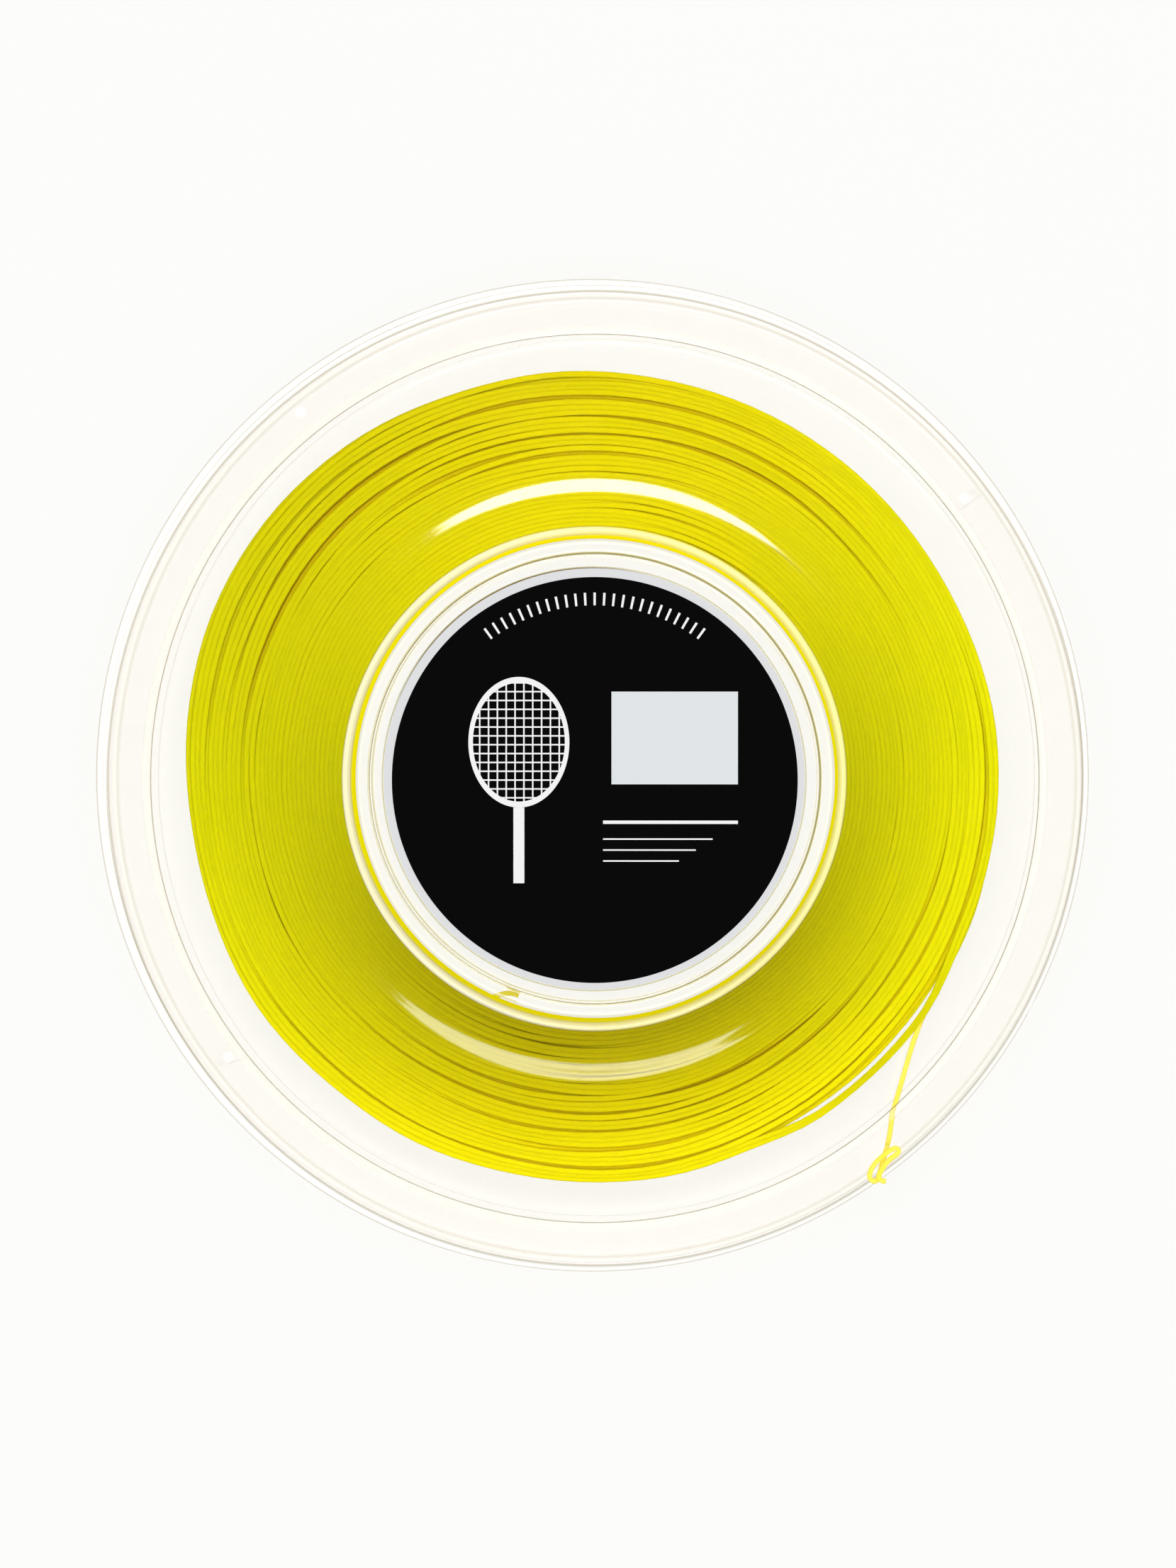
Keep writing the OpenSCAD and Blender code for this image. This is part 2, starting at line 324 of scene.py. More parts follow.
FRONT_FADE = 6 * MM  # height above the weld by which a mark is the front half's
# Pale rings mixed into the sheet: at the hub's fillet a milky haze, and at the step painted sheen
# that stands for the bright reflection on its slope.
HAZE_AND_SHEEN_COLOUR = (0.97, 0.94, 0.82, 1)
HAZE_SIDE = (0.3, -0.8)  # the haze grows from +X towards -X
HAZE_STREAKS = 2.2  # per mm
HAZE_AND_SHEEN_RINGS = (  # inner radius, outer radius, soft edge in mm, how milky and how streaky
    (58.0, 59.9, 0.2, 0.42, 1.4),
    (105.7, 107.3, 0.35, 0.3, 0.6),
)
# The lines are painted shade that stands for what the bends refract, and the first of BEND_LINES,
# at the label's edge, is the label's painted shadow.
LINE_SHADE_TINT = (0.5, 0.46, 0.36, 1)
HUB_LINE_SHADE_TINT = (0.55, 0.5, 0.12, 1)  # by the hub a bend gathers the string's yellow
BEND_LINES = (  # radius and half width in mm, and how dark it is on the front and on the rear half
    (50.3, 0.15, 0.4, 0.0), (54.0, 0.2, 0.15, 0.6), (59.9, 0.1, 0.2, 0.0),
    (105.6, 0.1, 0.85, 0.2), (107.45, 0.12, 0.15, 0.1), (115.65, 0.3, 0.4, 0.15),
)  # fmt: skip
LIP_LINE = (117.7, 118.3, 0.15, 0.35)  # as a haze ring, round the lip's own middle
print(f"{len(BEND_LINES)} lines and {len(HAZE_AND_SHEEN_RINGS)} hazy rings")


# %% Clear sheet material
def ring_mask(radius, low, high, edge):
    return radius.steps(low - edge, low + edge) * radius.steps(high + edge, high - edge)


def sheet_haze_and_sheen(tree, x, radius, front):
    """How milky the front half is painted; at the step this pale band is painted sheen for the
    bright reflection on the slope.
    """
    left = (x / MM / radius).steps(*HAZE_SIDE)
    streaks = tree.noise(tree.vector(radius * HAZE_STREAKS, 0.2, 0.4), 1.0, 2.0) - 0.5
    haze = radius * 0
    for low, high, edge, milk, streaky in HAZE_AND_SHEEN_RINGS:
        ring = ring_mask(radius, low, high, edge) * milk * (left * 0.5 + 0.5)
        haze = haze + ring * (streaks * streaky + 1) * front
    return haze


def painted_bend_lines(x, y, radius, front):
    """How dark the painted lines at the bends and round the lip are: painted shade for what the
    bends refract, and the label's painted shadow at its edge.
    """
    lip_radius = from_axis(x - LIP_SHIFT.x, y - LIP_SHIFT.y) / MM
    line = ring_mask(lip_radius, *LIP_LINE[:3]) * LIP_LINE[3]
    for middle, half_width, dark, dark_rear in BEND_LINES:
        mask = ring_mask(radius, middle - half_width, middle + half_width, half_width)
        line = line + mask * (front * (dark - dark_rear) + dark_rear)
    return line


def clear_sheet_material():
    material, tree = new_material("clear_sheet")
    place = tree.place()
    x, y, z = tree.split(place)
    radius = from_axis(x, y) / MM
    front = z.steps(MID_Z, MID_Z + FRONT_FADE)
    at_hub = radius < HUB_R / MM

    grain = tree.noise(place, GRAIN, 3.0)
    wave = tree.noise(place, WAVE, 1.0)
    normal = tree.node(
        "ShaderNodeBump", None, Strength=0.05, Distance=0.1 * MM, Height=wave
    )
    tint = tree.blend(radius > RING_TINT_R, FLANGE_TINT, RING_TINT)
    tint = tree.blend(at_hub, tint, HUB_TINT)
    glass = tree.node(
        "ShaderNodeBsdfPrincipled",
        None,
        Base_Color=tint,
        Roughness=grain * 0.06 + 0.02,
        IOR=1.5,
        Transmission_Weight=1.0,
        Normal=normal,
    )
    away = tree.turned_away()
    tight = (radius < TIGHT_INSIDE).maths("MAXIMUM", radius > TIGHT_OUTSIDE)
    steep = (away.steps(*TIGHT_STEEP) * tight).maths("MAXIMUM", away.steps(*STEEP))
    sheet = tree.mix(steep, glass, tree.see_through(STEEP_TINT))

    # painted shade along the bends and the lip, and the label's painted shadow
    tan = tree.mix(at_hub, tree.see_through(LINE_SHADE_TINT), tree.see_through(HUB_LINE_SHADE_TINT))
    sheet = tree.mix(painted_bend_lines(x, y, radius, front), sheet, tan)
    # milky haze at the fillet, and painted sheen at the step for the reflection on its slope
    milk = tree.node("ShaderNodeBsdfDiffuse", None, HAZE_AND_SHEEN_COLOUR, Normal=tree.vector(0, 0, 1))
    sheet = tree.mix(sheet_haze_and_sheen(tree, x, radius, front), sheet, milk)

    shadow_ray = tree.node("ShaderNodeLightPath", None, out=1)
    sheet = tree.mix(shadow_ray, sheet, tree.see_through(SHADOW_TINT))
    return end_material(material, tree, sheet)


CLEAR = clear_sheet_material()

# %% [markdown]
# ## The formed halves
# Each half is one sheet, drawn over a mould: boss, groove, hub wall, flange, a step up to the
# rim ring and a fall to the trimmed lip. Its section is a line with a bend at each corner. The
# line is moved half a thickness to both sides, and the closed outline is swept round the axis.
# Short flats beside each bend keep the smooth shading of the bend off the long flats.

# %% Section of a half
BEND_STEPS = 6
FLAT_GUARD = 0.15 * MM  # length of the short flat beside each bend
SWEEP_STEPS = 288


def unit(v):
    return v / np.linalg.norm(v)


def bend(before, corner, after, radius, shift):
    """Points of one bend of the line, moved to the left of its run by shift."""
    back, on = unit(before - corner), unit(after - corner)
    half_angle = math.acos(float(back @ on)) / 2
    centre = corner + unit(back + on) * radius / math.sin(half_angle)
    first = unit(corner + back * radius / math.tan(half_angle) - centre)
    turn = 1 if back[0] * on[1] - back[1] * on[0] < 0 else -1
    sweep = turn * (math.pi - 2 * half_angle)
    points = []
    for i in range(BEND_STEPS + 1):
        angle = math.atan2(first[1], first[0]) + sweep * i / BEND_STEPS
        spoke = np.array((math.cos(angle), math.sin(angle)))
        points.append(centre + (radius - turn * shift) * spoke)
    return [points[0] + back * FLAT_GUARD, *points, points[-1] + on * FLAT_GUARD]


def left_of(a, b):
    along = unit(b - a)
    return np.array((-along[1], along[0]))


def skin(line, shift):
    """The line of corners moved sideways by shift, with its bends."""
    places = [np.array(point[:2]) for point in line]
    points = [places[0] + shift * left_of(places[0], places[1])]
    for i in range(1, len(line) - 1):
        points += bend(places[i - 1], places[i], places[i + 1], line[i][2], shift)
    points.append(places[-1] + shift * left_of(places[-2], places[-1]))
    return points


def half_section():
    """The closed outline of a half's section, as radius and height above the weld."""
    foot_z = SHEET_T / 2 + WELD_GAP
    flange_z = INNER_HALF_W + SHEET_T / 2
    ring_z = flange_z + STEP_RISE
    boss_z = ring_z - BOSS_INSET
    middle = SHEET_T / 2
    line = [
        (0, boss_z, 0),
        (BOSS_R - middle, boss_z, CORNER_R),
        (BOSS_R - middle + BOSS_DRAFT, foot_z, CORNER_R),
        (HUB_R - middle, foot_z, CORNER_R),
        (HUB_R - middle + HUB_DRAFT, flange_z + CROWN_RISE, FILLET_R),
        (CROWN_R, flange_z + CROWN_RISE, CROWN_BEND_R),
        (CROWN_R + CROWN_RUN, flange_z, CROWN_BEND_R),
        (STEP_R, flange_z, CORNER_R),
        (RING_IN_R, ring_z, CORNER_R),
        (RING_OUT_R, ring_z, CORNER_R),
        (RING_OUT_R + RING_FALL, flange_z, CORNER_R),
        (RIM_R, flange_z, 0),
    ]
    return skin(line, middle) + skin(line, -middle)[::-1]


section = half_section()
print(f"section of {len(section)} points")


# %% [markdown]
# ## Sweeping the section
# A grid is bent round the axis: its rows are the section's points and its columns go round.
# The lip was cut by hand, so its edge follows a circle a little off the axis, with a slight
# wave and four small nicks. The tie holes are cut last, by drills placed on the rim ring.

# %% Sweep
NICKS = (25.7, 109.7, 190.7, 332.7)  # directions of the nicks in the lip, in degrees
NICK_DEPTH = 0.35 * MM
NICK_HALF_ANGLE = 0.25  # degrees
LIP_WAVE = 0.2 * MM
LIP_LEVEL = 0.8  # what the wave's noise is measured from, so that the lip keeps inside its circle
TIE_HOLE_D = 2.5 * MM
FRONT_TIE_ANGLE, REAR_TIE_ANGLE = 128.6, 37.2  # direction of one of each half's two holes
DRILL_L = 8 * MM
DRILL_DEPTH = 2 * MM  # of its middle, below the rim ring's face


def points_object(name, points):
    mesh = bpy.data.meshes.new(name)
    mesh.from_pydata([(r, 0, z) for r, z in points], [], [])
    return bpy.data.objects.new(name, mesh)


def lip_edge(tree, angle):
    """Radius of the lip's edge in a direction: an off-centre circle, waved and nicked."""
    cosine, sine = angle.maths("COSINE"), angle.maths("SINE")
    edge = RIM_R + cosine * LIP_SHIFT.x + sine * LIP_SHIFT.y
    wave = tree.noise(tree.vector(cosine, sine, 0), 2.5, 2.0)
    edge = edge + (wave - LIP_LEVEL) * LIP_WAVE
    for nick in NICKS:
        off = (angle - math.radians(nick)) * (1 / math.radians(NICK_HALF_ANGLE))
        edge = edge - NICK_DEPTH * (off * off * -1).maths("EXPONENT")
    return edge


def drills(tree, angle, count):
    """Upright cylinders on the tie holes' circle, from angle on round the axis."""
    drill = tree.node(
        "GeometryNodeMeshCylinder", {"fill_type": "NGON"}, 48, 1, 1, TIE_HOLE_D / 2, DRILL_L
    )
    marks = tree.node("GeometryNodePoints", None, count)
    turn = tree.node("GeometryNodeInputIndex") * (2 * math.pi / count) + angle
    spot = tree.vector(
        turn.maths("COSINE") * TIE_R, turn.maths("SINE") * TIE_R, MID_Z - DRILL_DEPTH
    )
    placed = tree.node("GeometryNodeSetPosition", None, marks, None, spot)
    return tree.node("GeometryNodeInstanceOnPoints", None, placed, None, drill)


def swept(tree, outline, rows, columns, shift_radius, lift):
    """Sweeps an outline round the axis. shift_radius may change a point's radius by direction."""
    grid = tree.node("GeometryNodeMeshGrid", None, 1.0, 1.0, rows, columns + 1)
    index = tree.node("GeometryNodeInputIndex")
    row = ((index + 0.5) / (columns + 1)).maths("FLOOR")
    turn = (index - row * (columns + 1)) * (2 * math.pi) / columns
    tree.node("GeometryNodeObjectInfo", None, outline)
    shape = Wire(tree, tree.last.outputs["Geometry"])
    here = tree.node("GeometryNodeInputPosition")
    sampled = tree.node(
        "GeometryNodeSampleIndex", {"data_type": "FLOAT_VECTOR"}, shape, here, row
    )
    radius, _, height = tree.split(sampled)
    radius = shift_radius(radius, turn)
    height = height * lift + MID_Z
    spot = tree.vector(radius * turn.maths("COSINE"), radius * turn.maths("SINE"), height)
    placed = tree.node("GeometryNodeSetPosition", None, grid, None, spot)
    return tree.node("GeometryNodeMergeByDistance", None, placed, None, 0.001 * MM)


SHARP_DEGREES = 35


def smoothed(tree, geometry, sharp_degrees=SHARP_DEGREES):
    """Smooth shading, with a hard line where faces meet at more than this angle."""
    smooth = tree.node("GeometryNodeSetShadeSmooth", {"domain": "FACE"}, geometry)
    sharp = tree.node("GeometryNodeInputMeshEdgeAngle") > math.radians(sharp_degrees)
    return tree.node(
        "GeometryNodeSetShadeSmooth", {"domain": "EDGE"}, smooth, sharp, False
    )


def formed_half(name, tie_angle, side, cutters=()):
    """One half. side is 1 for the front and -1 for the rear, the same form turned over."""
    tree = Geometry(name)
    outline = tree.input("Section", points_object(name + "_section", section), "Object")
    columns = tree.input("Columns", SWEEP_STEPS, "Int")
    angle = tree.input("Tie angle", math.radians(tie_angle))

    def trimmed(radius, turn):
        past_ring = ((radius - RING_OUT_R - RING_FALL) / LIP_W).maths("MAXIMUM", 0)
        return radius + past_ring * (lip_edge(tree, turn) - RIM_R)

    half = swept(tree, outline, len(section), columns, trimmed, side)
    if side < 0:
        half = tree.node("GeometryNodeFlipFaces", None, half)
    tools = drills(tree, angle, 2)
    tools = tree.node(
        "GeometryNodeTransform", None, tools, Translation=(0, 0, MID_Z), Scale=(1, 1, side)
    )
    half = tree.node("GeometryNodeMeshBoolean", {"operation": "DIFFERENCE"}, half, tools)
    for cutter in cutters:
        half = tree.node(
            "GeometryNodeMeshBoolean", {"operation": "DIFFERENCE"}, half, cutter(tree)
        )
    return tree.run(smoothed(tree, half), CLEAR, name)


# %% [markdown]
# The string's inner end comes through a small slanting hole in the rear half's hub wall, so the
# rear half gets one more drill, laid along the end's own route.

# %% Halves
TAIL_Z = 5.6 * MM
TAIL_POINTS = (  # direction in degrees, and distance outside the hub in mm
    (243.4, 3.0), (244.4, 1.6), (245.5, 0.35), (246.7, -0.75),
    (248.1, -1.55), (249.3, -1.85), (250.6, -1.95),
)  # fmt: skip
TAIL_HOLE_D = 1.65 * MM
TAIL_DRILL_L = 3.2 * MM


def polar(radius, degrees):
    return Vector((math.cos(math.radians(degrees)), math.sin(math.radians(degrees)))) * radius


TAIL_ROUTE = [(*polar(HUB_R + out * MM, angle), TAIL_Z) for angle, out in TAIL_POINTS]


def tail_drill(tree):
    before, here, after = (Vector(TAIL_ROUTE[i]) for i in (1, 2, 3))
    drill = tree.node(
        "GeometryNodeMeshCylinder", {"fill_type": "NGON"},
        32, 1, 1, TAIL_HOLE_D / 2, TAIL_DRILL_L,
    )  # fmt: skip
    turned = (after - before).to_track_quat("Z", "Y").to_euler()
    return tree.node(
        "GeometryNodeTransform", None, drill, Translation=tuple(here), Rotation=tuple(turned)
    )


front_sheet = formed_half("front_sheet", FRONT_TIE_ANGLE, 1)
rear_sheet = formed_half("rear_sheet", REAR_TIE_ANGLE, -1, [tail_drill])

# %% [markdown]
# ## String material
# Polyester string is solid, even and slightly see-through. Light enters one strand and leaves
# the next, so the shade between strands is a deep amber and never grey. A little subsurface
# scattering helps, but the amber is painted shade, laid on by depth below a flank, with a painted
# glow. The colour carries more painted light and shade: greener and dimmer along the lamps' line,
# darker towards the hub and towards -Y. A slow drift of colour from turn to turn keeps the
# winding from looking printed.


# %% String: colours and light
DARK = (0.0, 0.0, 0.0, 1)
# Painted light in the string's colours: lit across the lamps' line, painted shade (greener and
# dimmer) along it, and painted amber shade deep between the strands.
STRING_COLOURS = (  # across the lamps' line, along it, and deep between the strands
    (1.0, 0.85, 0.0, 1), (0.77, 0.77, 0.0, 1), (0.72, 0.52, 0.0, 1),
)  # fmt: skip
# A lone strand is painted in one paler colour all over, with a painted glow, for the light it lets
# through from the white table behind it; SINGLE_CLEAR lets that white really show through.
SINGLE_COLOUR = (1.0, 0.86, 0.1, 1)  # of a strand by itself, with white behind it
SINGLE_CLEAR = 0.18  # how much of that white shows through, seen face-on
SINGLE_LIGHT = (0.15, 0.11, 0.0, 1)
# The core's colours are the string's, darker as painted shade of the deep layers.
CORE_COLOURS = ((0.5, 0.4, 0.0, 1), (0.45, 0.38, 0.0, 1), (0.5, 0.36, 0.0, 1))
# Painted glows, which the string emits though it is no lamp: from strand to strand deep in the
# winding, and by the hub for the light that the clear hub lets in from behind.
AMBER_LIGHT = (0.07, 0.05, 0.0, 1)  # what glows from strand to strand
HUB_LIGHT = (0.58, 0.5, 0.0, 1)  # what the clear hub lets in from behind
# The amber between the strands is painted shade.
AMBER_DEPTH = (0.7 * MM, 1.7 * MM)  # below a flank of the winding, where the amber sets in

# The direction's share is painted shade along the lamps' line; the drift is a random change of
# tone.
SIDE_SHADE_SHARE, DRIFT_SHARE = 0.8, 0.3  # how strongly direction and drift change the colour
DRIFT, STRING_GRAIN = 120.0, 1500.0  # per metre
FLATTEN = (6.0, 12.0)  # how much the shading favours flat sides: in general, and by the hub

# Painted light and shade on the flanks, as shares of the string's colour:
LIT_R = 63.6  # mm
LIT = 0.69  # how much light the flanks get at that radius
LIT_OUTWARDS = 0.0087  # more per mm
LIT_UPPER = (0.15, -0.0105)  # more towards +Y: at that radius, and per mm outwards
LIT_RIGHT = 0.003  # more towards +X per mm
LIT_LOWER = 0.08  # less towards -Y
LOWER = (-0.2, -0.9)  # from where to where that grows, as the direction's sine
print(f"string of {STRING_D / MM:.2f} mm")


# %% String material
def painted_flank_light(x, y, far):
    """Painted light and shade on the flanks: light reaches their outer part best, and by the hub
    only the upper side.
    """
    ring = far / MM - LIT_R
    lit = ring * LIT_OUTWARDS + LIT + (ring * LIT_UPPER[1] + LIT_UPPER[0]) * (y / far)
    return lit + ring * LIT_RIGHT * (x / far) - (y / far).steps(*LOWER) * LIT_LOWER


def painted_amber_shade_mask(z, far):
    """Where the amber shade is painted: 1 well below a flank, but not in the winding's outermost
    and innermost strands.
    """
    depth = (z - MID_Z).maths("ABSOLUTE") * -1 + (INNER_HALF_W - SEAT)
    deep = depth.steps(*AMBER_DEPTH) * far.steps(OUTER_R - STRING_D, OUTER_R - 3 * STRING_D)
    return deep * far.steps(HUB_R + 2 * STRING_D, HUB_R + 4 * STRING_D)


def string_material(name, bright, shaded_along_lamps, amber, clear=0.0, painted_glow=DARK):
    """Yellow with painted light: bright across the lamps' line, shaded_along_lamps along it as
    painted shade, and amber deep in the winding as painted shade between the strands.

    clear is how much of what lies behind shows through, and painted_glow is emitted from inside as
    painted light."""
    material, tree = new_material(name)
    place = tree.place()
    x, y, z = tree.split(place)
    far = from_axis(x, y)
    along_lamps = x * x / (far * far)
    deep = painted_amber_shade_mask(z, far)
    by_hub = far.steps(HUB_R + 2.2 * STRING_D, HUB_R + 1.8 * STRING_D)
    drift = (tree.noise(place, DRIFT, 2.0) - 0.5) * DRIFT_SHARE
    grain = tree.noise(place, STRING_GRAIN, 2.0)

    # Painted light: shade along the lamps' line, amber shade between the strands, less light where
    # the flanks get less, and painted glows deep in the winding and by the hub.
    colour = tree.blend(along_lamps * SIDE_SHADE_SHARE + drift, bright, shaded_along_lamps)
    colour = tree.blend(deep, colour, amber)
    colour = tree.blend(painted_flank_light(x, y, far), DARK, colour)
    glow = tree.blend(deep, painted_glow, AMBER_LIGHT)
    glow = tree.blend(by_hub, glow, HUB_LIGHT)
    bump = tree.node(
        "ShaderNodeBump", None, Strength=0.02, Distance=0.02 * MM, Height=grain
    )
    across, forward, upward = tree.split(bump)
    flatten = by_hub * (FLATTEN[1] - FLATTEN[0]) + FLATTEN[0]
    flat = tree.vector(across, forward, upward * flatten)
    normal = tree.node("ShaderNodeVectorMath", {"operation": "NORMALIZE"}, flat)
    skin = tree.node(
        "ShaderNodeBsdfPrincipled",
        None,
        Base_Color=colour,
        Emission_Color=glow,
        Emission_Strength=1.0,
        Roughness=grain * 0.1 + 0.35,
        Specular_IOR_Level=0.01,
        Subsurface_Weight=0.3,
        Subsurface_Radius=(1.0, 0.8, 0.05),
        Subsurface_Scale=1.6 * MM,
        Normal=normal,
    )
    share = tree.turned_away() * clear + clear
    return end_material(material, tree, tree.mix(share, skin, tree.see_through((1, 1, 1, 1))))


STRING = string_material("string", *STRING_COLOURS)
SINGLE = string_material(
    "string_single", *[SINGLE_COLOUR] * 3, clear=SINGLE_CLEAR, painted_glow=SINGLE_LIGHT
)

# %% [markdown]
# ## The string's ends
# The free end leaves the winding, rises under the front flange, goes out through a tie hole and
# is knotted there. The inner end pokes through the hub wall. Their routes are given points, so
# each becomes one Bezier spline whose handles Blender sets, with a round bevel.

# %% String ends
FREE_ROUTE = (  # mm
    (82.3, -47.5, 17.12), (79.9, -52.9, 17.14), (77.5, -58.2, 17.3), (75.4, -64.2, 17.85),
    (73.7, -70.0, 18.3), (72.3, -74.8, 18.4), (71.45, -77.8, 18.45), (70.9, -80.0, 18.8),
    (70.6, -81.9, 19.3), (70.4, -83.4, 19.6), (70.15, -85.0, 19.69), (69.9, -86.1, 19.82),
    (69.7, -86.85, 20.24), (69.6, -87.2, 20.8), (69.5, -87.55, 21.36), (69.25, -88.3, 21.79),
    (69.1, -88.8, 21.91), (68.9, -89.4, 21.92),
)  # fmt: skip
KNOT_ROUTE = (  # mm
    (68.9, -89.4, 21.92), (68.6, -90.35, 21.92), (68.3, -91.6, 21.93), (68.0, -92.8, 21.95),
    (67.7, -93.9, 22.0), (67.3, -94.8, 22.05), (66.7, -95.35, 22.15), (66.0, -95.2, 22.3),
    (65.5, -94.55, 22.5), (65.45, -93.7, 22.7), (65.7, -92.7, 22.95), (66.2, -91.7, 23.25),
    (66.95, -90.7, 23.5), (67.85, -89.8, 23.65), (68.85, -88.95, 23.65), (69.9, -88.15, 23.5),
    (70.9, -87.6, 23.2), (71.75, -87.5, 22.85), (72.2, -88.0, 22.65), (72.05, -88.65, 22.65),
    (71.4, -89.2, 22.8), (70.6, -89.75, 23.1), (69.8, -90.45, 23.35), (69.1, -91.25, 23.5),
    (68.5, -92.15, 23.55), (67.95, -93.05, 23.5), (67.6, -93.85, 23.4), (67.7, -94.65, 23.35),
    (68.3, -95.15, 23.2), (69.1, -95.3, 22.95),
)  # fmt: skip


def cord_curve(name, points, material):
    """A round cord along points in metres, as a curve of one open spline."""
    curve = bpy.data.curves.new(name, "CURVE")
    curve.dimensions = "3D"
    curve.bevel_depth = STRING_D / 2
    curve.bevel_resolution = 4
    curve.resolution_u = 8
    curve.use_fill_caps = True
    spline = curve.splines.new("BEZIER")
    spline.bezier_points.add(len(points) - 1)
    for bent, point in zip(spline.bezier_points, points):
        bent.co = point
        bent.handle_left_type = bent.handle_right_type = "AUTO"
    curve.materials.append(material)
    made = bpy.data.objects.new(name, curve)
    bpy.context.scene.collection.objects.link(made)
    print(f"{name}: {len(points)} points")
    return made


def metres(points):
    return [Vector(point) * MM for point in points]


free_end = cord_curve("free_end", metres(FREE_ROUTE), SINGLE)
knot = cord_curve("knot", metres(KNOT_ROUTE), SINGLE)
inner_tail = cord_curve("inner_tail", TAIL_ROUTE, SINGLE)

# %% [markdown]
# The free end is the last stretch of the winding, so one more strand leads from its start back
# under the loose turns. It gets the winding's material with its painted shade instead of the lone
# strand's painted glow, because it has yellow behind it.

# %% Lead-in
LEAD_ROUTE = (  # direction in degrees, radius and height in mm
    (-30.0, 95.02, 17.12), (-27, 95.2, 17.0), (-23, 95.35, 16.8), (-19, 95.4, 16.6),
    (-14, 95.2, 16.5), (-9, 94.9, 16.4), (-4, 94.4, 16.3),
)  # fmt: skip
lead_in = cord_curve(
    "lead_in", [(*polar(r * MM, angle), z * MM) for angle, r, z in LEAD_ROUTE], STRING
)

# %% [markdown]
# ## The winding
# The winding is one string, and its look comes from how a winding machine lays it: to and fro
# between the flanges, about twelve turns each way. At a flange the string turns back and climbs
# one layer. Just before that place the next layer's turn still lies one strand deeper, so a dark
# spindle-shaped gap opens beside the climb. Counting turns back from the free end, every point
# follows a formula for its direction, layer and height. Only what can be seen is kept: three
# strands deep at each flange, the outer two layers and the innermost one.

# %% How the string is laid
LAYERS = 34
TURNS_PER_LAYER = 12.245
RINGS = 120  # rings of the tube per turn
LAST_TURNS = 1.361  # turns after the string has reached the front flange for the last time
END_ANGLE = -5  # direction in which the last of them dives under the others, in degrees
END_REACH = 0.07  # turns over which it does
END_SINK = Vector((1.7, 1.3)) * MM  # inwards and down
HALF_W = 7.775 * MM  # from the weld's plane to the middle of a strand at a flange
DWELL = (0.82, 0.93)  # turns beside a flange before and after a climb, outside and inside
DWELL_CHANGE = (0.35, 0.6)  # share of the winding's depth over which the second takes over
DWELL_LOOSE = 0.2  # how much less that can be by chance
DWELL_LUCK = 0.35  # chance, from 0 to 1, up to which it isn't less
DWELL_CALM = 0.6  # share by which chance counts less at the hub
DROP = 0.12  # turns in which the string then leaves the flange by its own width
SPREAD = 1.18  # how much wider a strand is drawn where its neighbours press it flat
CLIMB = 0.2  # turns that a climb takes
FILLET_PUSH = 0.45 * MM  # how far the fillet beside a flange pushes the innermost strand out
print(f"{LAYERS} layers of {TURNS_PER_LAYER} turns")

# %% [markdown]
# No winding is quite round. Wide swells push it out or in, whole layers and single strands waver
# a little, most at the outside, and the last turns have come loose beside the free end.

# %% Swells and loose turns
SWELLS = (  # direction and spread in degrees, and mm
    (142, 40, 3.7), (285, 45, 0.8), (212, 14, 0.9), (312, 26, -1.2),
)  # fmt: skip
LAYER_WAVER = (2.2 * MM, 0.22, 1.6)  # how far, how fast from layer to layer, and round the axis
STRAND_WAVER = (0.6 * MM, 0.6, 1.4)  # the same from turn to turn
LOOSE_TURNS = 2.3  # turns at the free end that have come loose
LOOSE_START = 0.2  # turns over which they do, either way
LOOSE_ANGLE = 314
LOOSE_SPREAD = 22
LOOSE_EDGE = (0.3, 0.85)  # part of the hump over which they leave the winding
LOOSE = 1.75 * MM  # how far they stand off
LOOSE_FAN = (1.3, 0.3)  # how many times that the first stands off, and less of it per layer


def bulge(tree, angle, centre, spread):
    """A soft hump of height 1 round the axis. angle is in radians, the others in degrees."""
    off = angle - math.radians(centre)
    near = (off * 0.5).maths("SINE") * (2 / math.radians(spread))
    return (near * near * -1).maths("EXPONENT")


def outer_radius(tree, angle):
    radius = angle * 0 + OUTER_R
    for centre, spread, height in SWELLS:
        radius = radius + bulge(tree, angle, centre, spread) * (height * MM)
    return radius


def waver(tree, cosine, sine, step, size):
    """How far off its place the string lies. step counts layers or turns."""
    amount, change, fineness = size
    spot = tree.vector(cosine, sine, step * change)
    return (tree.noise(spot, fineness, 1.0) - 0.5) * amount


